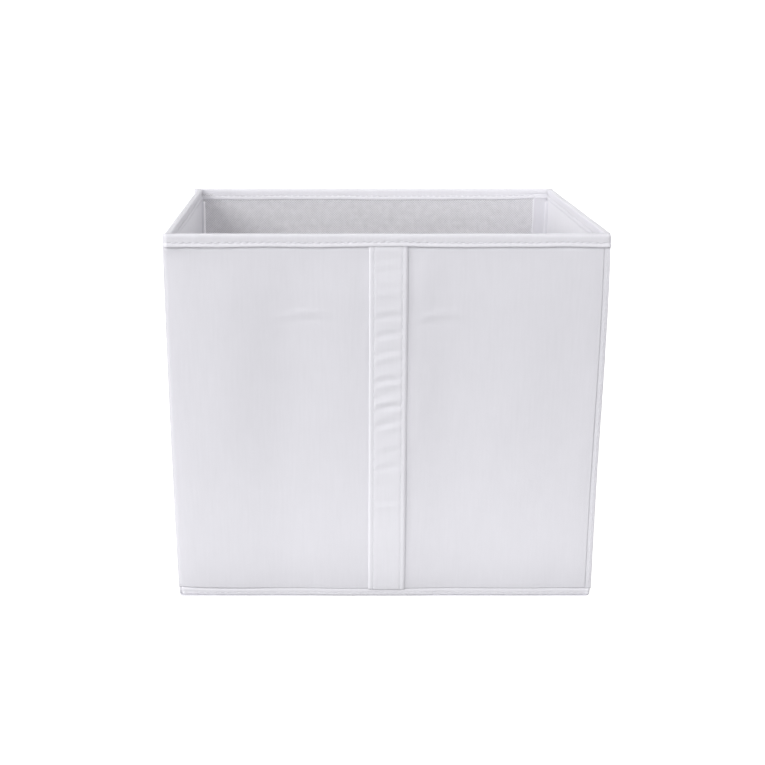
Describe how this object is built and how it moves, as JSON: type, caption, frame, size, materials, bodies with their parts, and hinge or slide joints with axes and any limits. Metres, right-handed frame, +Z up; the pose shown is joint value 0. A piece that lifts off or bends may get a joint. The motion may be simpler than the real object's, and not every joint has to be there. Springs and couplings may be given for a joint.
{
  "type": "fabric storage cube",
  "caption": "Open-topped collapsible fabric storage cube with board-stiffened walls, a bound rim, a front pull strap, creased side walls that fold inwards, and a loose base board.",
  "frame": {"origin": "centre of the bounding box's underside, on the floor under the middle of the cube", "axes": "+X to the right along the front wall, +Y from the front wall to the back wall, +Z up"},
  "size_m": [0.34, 0.27, 0.3],
  "materials": {
    "outer_fabric": "plain woven polyester-cotton cloth, matt, slightly cool white",
    "binding": "woven tape, matt white, folded over the rim and stitched",
    "strap": "folded woven cloth strip, matt white, edge-stitched with puckers",
    "side_lining": "smooth woven cloth, matt white",
    "lining": "spun-bonded nonwoven with a fine embossed dot grid, matt off-white",
    "thread": "white polyester sewing thread",
    "board": "grey-brown stiffening board"
  },
  "bodies": {
    "back_wall": {"back_outer_fabric": "outer_fabric", "back_board": "board", "back_lining": "lining", "back_rim_binding": "binding", "back_left_corner_seam": "outer_fabric", "back_right_corner_seam": "outer_fabric", "back_left_facing": "side_lining", "back_right_facing": "side_lining", "back_bottom_seam": "outer_fabric", "back_stitching": "thread", "bottom_fabric": "outer_fabric"},
    "front_wall": {"front_outer_fabric": "outer_fabric", "front_board": "board", "front_lining": "lining", "front_rim_binding": "binding", "front_left_corner_seam": "outer_fabric", "front_right_corner_seam": "outer_fabric", "front_left_facing": "side_lining", "front_right_facing": "side_lining", "front_bottom_seam": "outer_fabric", "front_stitching": "thread", "handle_strap": "strap"},
    "left_rear_half": {"left_rear_outer_fabric": "outer_fabric", "left_rear_board": "board", "left_rear_lining": "side_lining", "left_rear_rim_binding": "binding", "left_rear_bottom_seam": "outer_fabric", "left_rear_stitching": "thread"},
    "left_front_half": {"left_front_outer_fabric": "outer_fabric", "left_front_board": "board", "left_front_lining": "side_lining", "left_front_rim_binding": "binding", "left_front_bottom_seam": "outer_fabric", "left_front_stitching": "thread"},
    "right_rear_half": {"right_rear_outer_fabric": "outer_fabric", "right_rear_board": "board", "right_rear_lining": "side_lining", "right_rear_rim_binding": "binding", "right_rear_bottom_seam": "outer_fabric", "right_rear_stitching": "thread"},
    "right_front_half": {"right_front_outer_fabric": "outer_fabric", "right_front_board": "board", "right_front_lining": "side_lining", "right_front_rim_binding": "binding", "right_front_bottom_seam": "outer_fabric", "right_front_stitching": "thread"},
    "base_insert": {"insert_board": "board", "insert_top_cover": "lining", "insert_bottom_cover": "lining", "insert_stitching": "thread"}
  },
  "joints": [
    {"name": "fold", "type": "hinge", "parent": "back_wall", "child": "left_rear_half", "pos_m": [-0.16495, 0.12995, 0], "axis": [0, 0, 1], "range_deg": [0, 90], "deforming": ["bottom_fabric", "front_bottom_seam", "left_rear_bottom_seam", "left_front_bottom_seam", "right_rear_bottom_seam", "right_front_bottom_seam"]},
    {"name": "left_crease", "type": "hinge", "parent": "left_rear_half", "child": "left_front_half", "pos_m": [-0.17025, 0.0008, 0], "axis": [0, 0, 1], "range_deg": [-180, 0]},
    {"name": "left_front_corner", "type": "hinge", "parent": "left_front_half", "child": "front_wall", "pos_m": [-0.16495, -0.12835, 0], "axis": [0, 0, 1], "range_deg": [0, 90]},
    {"name": "right_rear_corner", "type": "hinge", "parent": "back_wall", "child": "right_rear_half", "pos_m": [0.16495, 0.12995, 0], "axis": [0, 0, 1], "range_deg": [-90, 0]},
    {"name": "right_crease", "type": "hinge", "parent": "right_rear_half", "child": "right_front_half", "pos_m": [0.17025, 0.0008, 0], "axis": [0, 0, 1], "range_deg": [0, 180]},
    {"name": "insert_lift", "type": "slide", "parent": "back_wall", "child": "base_insert", "axis": [0, 0, 1], "range_m": [0, 0.32]}
  ],
  "couplings": [
    {"joint": "left_crease", "follows": "fold", "ratio": -2},
    {"joint": "left_front_corner", "follows": "fold", "ratio": 1},
    {"joint": "right_rear_corner", "follows": "fold", "ratio": -1},
    {"joint": "right_crease", "follows": "fold", "ratio": 2}
  ]
}
